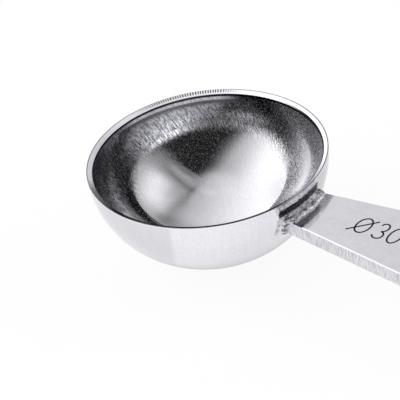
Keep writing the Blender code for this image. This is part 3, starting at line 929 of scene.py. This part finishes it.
@material
def ground_rim(n, point):
    """The rim's face: a painted shade outline at its outer edge, painted shade on its near left and in lines
    at its inner edges, and hatched across on its far side.
    """
    outward = n.outward(point)
    x, y, _ = n.parts(outward)
    turn = n.math("ARCTAN2", y, x)
    radius = n.vector("LENGTH", n.off_axis(point))
    fine = n.noise(outward, *RIM_GRAIN)
    drift = n.times(n.noise(outward, *RIM_UNEVENNESS), STROKE_DRIFT)
    strokes = n.math("COSINE", n.plus(drift, turn, RIM_STROKES))
    coarse = n.between(turn, *COARSE_ANGLES)
    dark_strokes = n.times(n.remap(strokes, -0.5, 0.5), n.remap(radius, *HATCHED_RADII))
    face = n.layers(
        n.mottled(fine, *GROUND),
        # painted shade: a dark grey over the rim's near left
        (n.between(turn, *RIM_SHADE_ANGLES), steel(RIM_SHADE_GREY)),
        (coarse, n.greys(dark_strokes, *HATCHED_GREYS)))
    # painted shade: a dark outline at the rim's outer edge, darker on the handle's side
    outline = n.times(n.remap(radius, *OUTLINE_SHADE_RADII), n.remap(fine, 0.2, 0.8, 0.75, 1.0),
                      n.remap(coarse, 0.0, 1.0, 1.0, 0.3))
    handle_side = n.side(outward, *RIM_HANDLE_SIDE)
    # painted shade: near-black at the rim's inner edge on the handle's side, and over its inner part on the
    # near side
    edge_shade = n.most(n.times(n.fall(radius, *EDGE_SHADE_RADII), handle_side),
                  n.times(n.fall(radius, *NEAR_EDGE_SHADE_RADII), n.side(outward, *RIM_NEAR_SIDE)))
    edges = n.blend(edge_shade, n.greys(handle_side, *OUTLINE_SHADE_GREYS), steel(EDGE_SHADE_GREY))
    marks = n.plus(n.times(fine, 0.3), n.times(strokes, coarse), 0.5)
    # the painted shade lines also take a dark specular tint, so they mirror almost nothing
    tint = {"Specular Tint": n.blend(edge_shade, WHITE, steel(EDGE_SHADE_TINT_GREY))}
    return n.surface(n.blend(n.most(outline, edge_shade), face, edges), n.remap(fine, *RIM_ROUGHNESS), marks,
                     RIM_RELIEF, RIM_METALLIC, tint)


def weld_zone(n, point, sides, heights):
    """1 on the cup's wall between two side offsets and two heights near the weld, with ragged edges."""
    x, y, z = n.parts(point)
    ragged = n.times(n.math("SUBTRACT", n.noise(point, *RAGS), 0.5), RAGGED_WIDTH)
    inside = n.remap(x, *ZONES_FROM_X)
    for place, edges in ((n.plus(y, ragged), sides), (n.plus(z, ragged, RAGGED_FLATNESS), heights)):
        rise, fall = ((edge - ZONE_FADE, edge + ZONE_FADE) for edge in edges)
        inside = n.times(inside, n.between(place, rise, fall))
    return inside


@material
def polished_outside(n, point):
    """The cup's outer wall: bright polish with painted light on one side and a painted highlight under the
    rim, heat-darkened above the strip where it is welded on, darkest there with painted shade.
    """
    outward = n.outward(point)
    buffed = n.meridian_noise(outward, point, *BUFFING)
    mottle = n.noise(point, *MOTTLE)
    cloudy = n.plus(mottle, buffed, 0.25)
    tint, spatter, smear, burn_and_shade = (weld_zone(n, point, *zone)
                                  for zone in (TINT_ZONE, SPATTER_ZONE, SMEAR_ZONE, BURN_AND_SHADE_ZONE))
    colour = n.layers(
        n.mottled(cloudy, *DULLER),
        # painted light: the wall is lighter beyond a plane across the bearing of 42.85 degrees
        (n.side(point, *PAINTED_LIGHT_SIDE), n.mottled(cloudy, *PAINTED_LIGHT_GREYS)),
        # a darker grey down the outer wall towards a bearing of 27 degrees from the handle
        (n.side(outward, *GREYER_SIDE), steel(GREYER_SIDE_GREY)),
        # painted highlight: a near-white band along the top of the outer wall
        (n.remap(n.parts(point)[2], *TOP_EDGE_HIGHLIGHT_HEIGHTS), steel(TOP_EDGE_HIGHLIGHT_GREY)),
        (n.most(tint, spatter), n.mottled(mottle, *TINTED)),
        (smear, n.mottled(mottle, *SMEARED)),
        # heat scale under the rim, deepened to near black with painted shade
        (burn_and_shade, n.mottled(mottle, *BURNT_AND_SHADED)))
    rough = n.plus(n.remap(buffed, *OUTSIDE_ROUGHNESS), n.most(burn_and_shade, smear), 0.25)
    height = n.plus(n.times(buffed, 0.02), n.noise(point, *WAVES), 0.5)
    return n.surface(colour, rough, height, RELIEF)


@material
def strip_steel(n, point):
    """The strip: satin faces with heat tint near the cup, broken edges with a painted highlight, and sheared
    sides.
    """
    facing = n.math("ABSOLUTE", n.parts(n.add("ShaderNodeNewGeometry").outputs["True Normal"])[2])
    face = n.remap(facing, *FACE_TURN)
    side = n.fall(facing, *SIDE_TURN)
    satin, sheared, scorched = (n.noise(point, *kind) for kind in (SATIN, SHEARING, SCORCHING))
    radius = n.vector("LENGTH", n.off_axis(point))
    heat = n.fall(n.plus(radius, scorched, 0.8), *HEAT_RADII)
    cool = n.mottled(n.plus(satin, n.noise(point, *CLOUDS), 0.6), *COOL)
    colour = n.layers(
        # painted highlight: the broken edges between faces and sides are near white
        steel(STRIP_EDGE_HIGHLIGHT_GREY),
        (side, n.mottled(sheared, *SHEARED)),
        (face, n.blend(heat, cool, n.mottled(scorched, *SCORCHED))))
    polish = n.plus(n.remap(satin, *FACE_ROUGHNESS), heat, 0.16)
    rough = n.plus(n.times(polish, face), n.remap(sheared, *SHEARED_ROUGHNESS), side)
    height = n.plus(n.times(sheared, side), satin, n.times(face, 0.06))
    return n.surface(colour, n.most(rough, LEAST_ROUGHNESS), height, RELIEF)


@material
def weld_steel(n, point):
    """The weld: brushed-over steel with bright specks, and dark heat scale in the hollows."""
    specks = n.noise(point, *WELD_SPECKS)
    both = n.plus(n.times(specks, 1.2), n.noise(point, *WELD_PATCHES), 0.8)
    return n.surface(n.mottled(both, *WELDED), n.remap(specks, *WELD_ROUGHNESS), specks, WELD_RELIEF)


@material
def rivet_steel(n, point):
    """The rivets and the tube: ground along the grip together with the scales."""
    lines = n.noise(point, *TURNING)
    return n.surface(n.mottled(lines, *TURNED), n.remap(lines, *TURNED_ROUGHNESS), lines, TURNED_RELIEF)


@material
def grip_plastic(n, point):
    """The scales: black moulded plastic with a fine grain, a little shinier where hands rub."""
    grain = n.noise(point, *MOULD_GRAIN)
    flow = n.noise(point, *MOULD_FLOW)
    worn = n.remap(n.add("ShaderNodeNewGeometry").outputs["Pointiness"], *WORN_POINTINESS)
    rough = n.plus(n.remap(n.plus(flow, grain, 0.5), *PLASTIC_ROUGHNESS), worn, -0.1)
    colour = n.blend(worn, n.blend(flow, *PLASTIC_BLACKS), WORN_BLACK)
    return n.surface(colour, rough, grain, MOULD_RELIEF, 0.0)


@material
def etched_black(n, point):
    """The size mark: dark etched lines with a slightly uneven floor."""
    floor = n.noise(point, *ETCHING)
    return n.surface(n.blend(floor, *ETCHED_BLACKS), n.remap(floor, *ETCHED_ROUGHNESS), floor, RELIEF,
                     0.0, {"Specular IOR Level": ETCHED_SPECULAR})


# Dressing the part


def place_piece(piece, slot, *nodes):
    """The piece rides on the part's one body and may stand for CAD nodes."""
    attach(piece, "root")
    if nodes:
        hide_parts(*nodes)


def dress_part():
    place_piece(make_cup(), "cup_steel", "cup")
    place_piece(make_weld(), "weld_steel", "weld_bead")
    frame["nodes"]["tang"].data.materials[0] = strip_steel
    for name, side in (("upper", 1), ("lower", -1)):
        place_piece(make_scale(name + "_grip", side), "grip_plastic", name + "_scale")
    for name, x in RIVET_PLACES:
        for half, side, radius, node in RIVET_HALVES:
            place_piece(make_rivet(half + name, x, side, radius), "rivet_steel", node + name)
    place_piece(make_tube(), "rivet_steel", "hanging_tube")
    place_piece(make_mark(), "strip_steel")


# Studio

# Lamps: a name, degrees to the right of the camera's side, degrees from overhead, a width and a level
LAMPS = (("left_softbox", -95.0, 50.0, 0.6, 2.4), ("right_softbox", 97.0, 48.0, 0.5, 2.0))
LAMP_DISTANCE = 0.8
WORLD_LIGHT = 0.62

# Table, white to the eye and in mirrors, but with painted shade in its glow round the place where the cup
# stands on it
TABLE_SIZE = 6.0
TABLE_GREYS = ((0.93, 0.93, 0.93, 1.0), (0.95, 0.95, 0.95, 1.0))
TABLE_CELLS = 900.0
TABLE_ROUGHNESS = 0.8
TABLE_SEEN_WHITE = 0.92
TABLE_MIRRORED_WHITE = 0.6
SHADE_CENTRE = (-2.67 * MM, 4.35 * MM, -CUP_DEPTH)
SHADE_RADII = (5.0 * MM, 17.0 * MM)
SHADE_LEVEL = 0.10

# Walls, in degrees aside (to the right of the camera's side) and zenith (from overhead); level 1 is white
DOME_RADIUS = 0.9
DOME_FOOT = 89.0
DOME_COLUMNS = 240
DOME_RINGS = 59
ROOM_LEVEL = 0.95
ROOM_TILT = 1.1
ROOM_BRIGHT_SIDE = -112.0
ROOM_DIMMEST = 0.38
BOX_GLOW = 0.93
BOX_ASIDES = ((58.0, 80.0), (100.0, 140.0))
BOX_ZENITH = 50.0
BOX_SPREADS = (16.5, 19.0)
BAND_GLOW = 0.13
BAND_ASIDE = 51.0
BAND_WIDTH = 4.0
BAND_ZENITHS = (42.0, 62.0)

# Dark seams in the walls, each a path of (zenith, aside) with its depth and spread, and a dim patch overhead
WIDE_SEAM = ((14.0, 50.0), (19.0, 82.0), (23.0, 104.0), (34.0, 119.0), (46.0, 132.0))
NARROW_SEAM = ((20.0, 69.0), (30.0, 62.0), (40.0, 58.0), (54.0, 54.0))
SEAMS = ((WIDE_SEAM, 0.38, 7.0), (NARROW_SEAM, 0.28, 2.4))
SEAM_ZENITHS = ((12.0, 18.0), (50.0, 58.0))
DIM_PATCH = (17.0, 11.0)
DIM_PATCH_DEPTH = 0.38
DIM_PATCH_SPREAD = 9.0

# Dark opening on the photographer's side, its edges as (zenith, aside), with a grey jamb at its right edge
OPENING_LEFT = ((20.0, 12.0), (25.0, -5.0), (35.0, -17.0), (55.0, -31.0), (76.0, -45.0))
OPENING_LEFT_FADES = ((0.25, (-45.0, -5.0)), (0.75, (-12.0, 14.0)))
OPENING_RIGHT = ((20.0, 24.0), (32.0, 33.0), (48.0, 41.0), (64.0, 46.0), (76.0, 50.0))
OPENING_RIGHT_FADE = (-1.5, 1.5)
OPENING_TOP = (13.0, 31.0)
OPENING_LEVEL = 0.02
JAMB_RIGHT = ((20.0, 38.0), (32.0, 43.0), (48.0, 47.0), (64.0, 50.0), (76.0, 54.0))
JAMB_LEVEL = 0.25

# Foot of the walls round the opening, as (aside, level), and the walls opposite, dimmer towards the horizon
FOOT_ZENITHS = (72.0, 79.0)
FOOT_ASIDES = ((-75.0, -50.0), (65.0, 85.0))
FOOT_LEVELS = ((-60.0, 0.9), (-45.0, 0.5), (-28.0, 0.25), (-8.0, 0.22), (11.0, 0.55), (21.0, 1.05),
               (32.0, 1.9), (42.0, 2.0), (60.0, 0.9), (75.0, 0.6))
REAR_ASIDES = ((122.0, 142.0), (182.0, 202.0))
REAR_DIMMING = 0.36
REAR_DIM_ZENITHS = (30.0, 50.0)
REAR_LOW_LEVEL = 0.25
REAR_LOW_ZENITHS = (60.0, 76.0)
HORIZON_ASIDES = ((75.0, 100.0), (195.0, 215.0))
HORIZON_ZENITHS = (82.0, 84.0)
HORIZON_LEVEL = 0.12


def studio_direction(aside, zenith):
    """The direction at an angle to the right of the camera's side and an angle from overhead, in degrees."""
    turn, lean = math.radians(CAMERA_AZIMUTH + aside), math.radians(zenith)
    return Vector((math.sin(turn) * math.sin(lean), -math.cos(turn) * math.sin(lean), math.cos(lean)))


def ease(value, low, high):
    """Rises smoothly from 0 at low to 1 at high."""
    t = min(1.0, max(0.0, (value - low) / (high - low)))
    return t * t * (3 - 2 * t)


def span(value, rise, fall):
    """1 between a rise and a fall, each from a low to a high value, and 0 outside them."""
    return ease(value, *rise) * (1.0 - ease(value, *fall))


def bell(offset, width):
    """1 at no offset, and falls away to either side over this width."""
    return math.exp(-((offset / width) ** 2))


def along(value, points):
    """A straight-line reading between (place, reading) points."""
    if value <= points[0][0]:
        return points[0][1]
    for (x0, y0), (x1, y1) in zip(points, points[1:]):
        if value <= x1:
            return y0 + (y1 - y0) * (value - x0) / (x1 - x0)
    return points[-1][1]


def room_level(aside, zenith):
    """How bright the white studio is in a direction, apart from the opening."""
    lean = math.sin(math.radians(zenith))
    level = ROOM_LEVEL + ROOM_TILT * lean * math.cos(math.radians(aside - ROOM_BRIGHT_SIDE))
    box = bell(zenith - BOX_ZENITH, BOX_SPREADS[zenith > BOX_ZENITH])
    level = max(level, ROOM_DIMMEST) + BOX_GLOW * box * span(aside, *BOX_ASIDES)
    for path, depth, spread in SEAMS:
        seam = bell((aside - along(zenith, path)) * lean, spread)
        level *= 1.0 - depth * seam * span(zenith, *SEAM_ZENITHS)
    turn = math.radians(aside)
    off_patch = math.hypot(zenith * math.sin(turn) - DIM_PATCH[0], zenith * math.cos(turn) - DIM_PATCH[1])
    level *= 1.0 - DIM_PATCH_DEPTH * bell(off_patch, DIM_PATCH_SPREAD)
    band = bell((aside - BAND_ASIDE) * lean, BAND_WIDTH)
    return level + BAND_GLOW * band * (1.0 - ease(zenith, *BAND_ZENITHS))


def beyond(edge, aside, zenith):
    """How far a direction lies to the left of an edge of the studio, as an angle in degrees."""
    return (along(zenith, edge) - aside) * math.sin(math.radians(zenith))


def studio_level(aside, zenith):
    """How bright the whole studio is in a direction."""
    level = room_level(aside, zenith)
    inward = -beyond(OPENING_LEFT, aside, zenith)
    inside = sum(share * ease(inward, *fade) for share, fade in OPENING_LEFT_FADES)
    inside *= ease(zenith, *OPENING_TOP)
    for edge, dark in ((JAMB_RIGHT, JAMB_LEVEL), (OPENING_RIGHT, OPENING_LEVEL)):
        level += (dark - level) * inside * ease(beyond(edge, aside, zenith), *OPENING_RIGHT_FADE)
    foot = ease(zenith, *FOOT_ZENITHS) * span(aside, *FOOT_ASIDES)
    level += (along(aside, FOOT_LEVELS) - level) * foot
    turned = aside % 360.0
    behind = span(turned, *REAR_ASIDES)
    level *= 1.0 - REAR_DIMMING * behind * ease(zenith, *REAR_DIM_ZENITHS)
    level += (min(level, REAR_LOW_LEVEL) - level) * behind * ease(zenith, *REAR_LOW_ZENITHS)
    horizon = ease(zenith, *HORIZON_ZENITHS) * span(turned, *HORIZON_ASIDES)
    return level + (HORIZON_LEVEL - level) * horizon


def make_dome():
    """The studio's walls as polished steel mirrors them: a shell that only reflections see."""
    asides = [360.0 * t - 180.0 for t in shares(DOME_COLUMNS)[:-1]]
    rows = [[(aside, DOME_FOOT * t) for aside in asides] for t in shares(DOME_RINGS)[1:]]
    bm = bmesh.new()
    shell = skin_loops(bm, [[studio_direction(*place) * DOME_RADIUS for place in row] for row in rows])
    bm.faces.new(shell[0])
    made, n = new_material("studio_walls")
    glow = n.add("ShaderNodeAttribute", attribute_name="level").outputs["Fac"]
    n.show(n.add("ShaderNodeEmission", {"Color": WHITE, "Strength": glow}))
    dome = new_piece("studio_dome", bm, (made,))
    levels = [studio_level(*place) for row in rows for place in row]
    dome.data.attributes.new("level", "FLOAT", "POINT").data.foreach_set("value", levels)
    dome.visible_camera = dome.visible_diffuse = dome.visible_shadow = dome.visible_transmission = False


def make_world():
    """White where it is seen directly or mirrored, and a plain level of light elsewhere."""
    world = bpy.data.worlds.new("studio")
    world.use_nodes = True
    bpy.context.scene.world = world
    n = Nodes(world.node_tree)
    path = n.add("ShaderNodeLightPath").outputs
    seen = n.most(*(path[kind] for kind in ("Is Camera Ray", "Is Glossy Ray", "Is Transmission Ray")))
    strength = n.remap(seen, 0.0, 1.0, WORLD_LIGHT, 1.0)
    n.show(n.add("ShaderNodeBackground", {"Color": WHITE, "Strength": strength}), "ShaderNodeOutputWorld")


def make_table():
    """A white table top that keeps the part's shadow."""
    bm = bmesh.new()
    bmesh.ops.create_grid(bm, x_segments=1, y_segments=1, size=TABLE_SIZE / 2)
    made, n = new_material("table")
    place = n.add("ShaderNodeTexCoord").outputs["Object"]
    grain = n.blend(n.noise(place, TABLE_CELLS), *TABLE_GREYS)
    matt = n.add("ShaderNodeBsdfPrincipled", {"Base Color": grain, "Roughness": TABLE_ROUGHNESS})
    path = n.add("ShaderNodeLightPath").outputs
    off_shade = n.vector("LENGTH", n.vector("SUBTRACT", place, PLACEMENT @ Vector(SHADE_CENTRE)))
    # painted shadow: seen in mirrors, the table's white glow fades to a dark level round the place where the
    # cup stands
    mirrored = n.remap(off_shade, *SHADE_RADII, 1.0, TABLE_MIRRORED_WHITE)
    glow = n.most(n.remap(off_shade, *SHADE_RADII, SHADE_LEVEL, 1.0), path["Is Camera Ray"])
    white = n.add("ShaderNodeEmission", {"Color": WHITE, "Strength": glow})
    share = n.plus(n.times(path["Is Camera Ray"], TABLE_SEEN_WHITE), path["Is Glossy Ray"], mirrored)
    n.show(n.add("ShaderNodeMixShader", {0: share, 1: matt.outputs[0], 2: white.outputs[0]}))
    new_piece("table", bm, (made,), UNMOVED)


def make_camera():
    """The camera fitted to the photograph."""
    lean, azimuth, roll = map(math.radians, (90.0 - CAMERA_ELEVATION, CAMERA_AZIMUTH, CAMERA_ROLL))
    axes = Euler((lean, 0.0, azimuth)).to_matrix().to_4x4() @ Matrix.Rotation(-roll, 4, "Z")
    data = bpy.data.cameras.new("camera")
    data.lens = data.sensor_width * LENS_PIXELS / IMAGE_WIDTH
    data.clip_start = CAMERA_CLIP
    camera = bpy.data.objects.new("camera", data)
    camera.matrix_world = PLACEMENT @ axes @ Matrix.Translation((*CAMERA_AIM, CAMERA_DISTANCE))
    bpy.context.scene.collection.objects.link(camera)
    bpy.context.scene.camera = camera


def make_lamp(name, aside, zenith, size, level):
    """A soft light that faces the part; level is its brightness where white is 1."""
    data = bpy.data.lights.new(name, "AREA")
    data.size = size
    data.energy = level * math.pi * size**2
    lamp = bpy.data.objects.new(name, data)
    direction = studio_direction(aside, zenith)
    lamp.location = direction * LAMP_DISTANCE
    lamp.rotation_euler = direction.to_track_quat("Z", "Y").to_euler()
    lamp.visible_glossy = False
    bpy.context.scene.collection.objects.link(lamp)


dress_part()
make_camera()
make_world()
make_dome()
make_table()
for lamp in LAMPS:
    make_lamp(*lamp)
bpy.context.scene.view_settings.view_transform = "Standard"
